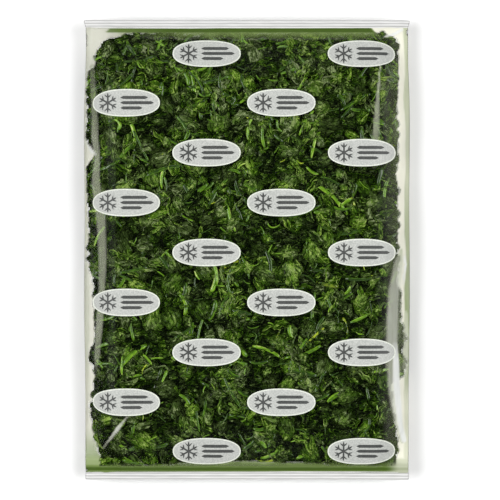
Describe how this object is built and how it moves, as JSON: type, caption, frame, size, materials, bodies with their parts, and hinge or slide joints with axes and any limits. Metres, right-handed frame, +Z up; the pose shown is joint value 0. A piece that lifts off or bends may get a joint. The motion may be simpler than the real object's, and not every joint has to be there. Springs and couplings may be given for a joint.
{
  "type": "bag of chopped spinach",
  "caption": "Clear catering pillow bag packed with frozen chopped spinach, a crimped seal across each end, lying flat on its back.",
  "frame": {"origin": "on the table under the middle of the bag, at the centre of its resting face", "axes": "+Z up out of the printed front, +Y along the bag towards its top seal, +X across the bag to the right as its front is read"},
  "size_m": [0.29, 0.409, 0.0454],
  "materials": {
    "filled_film": "clear glossy polythene film drawn over dark green chopped leaf",
    "clear_film": "clear glossy film, milky where it folds, green tint beside the seals",
    "crimped_seal": "pale grey heat seal, ribbed",
    "pale_print": "pale grey ink",
    "dark_print": "charcoal ink",
    "dark_leaf": "wet crumpled blanched leaf",
    "leaf": "wet chopped leaf, mid green",
    "stalk": "wet chopped stalk, bright green"
  },
  "bodies": {
    "root": {"bag": "filled_film"}
  },
  "joints": []
}
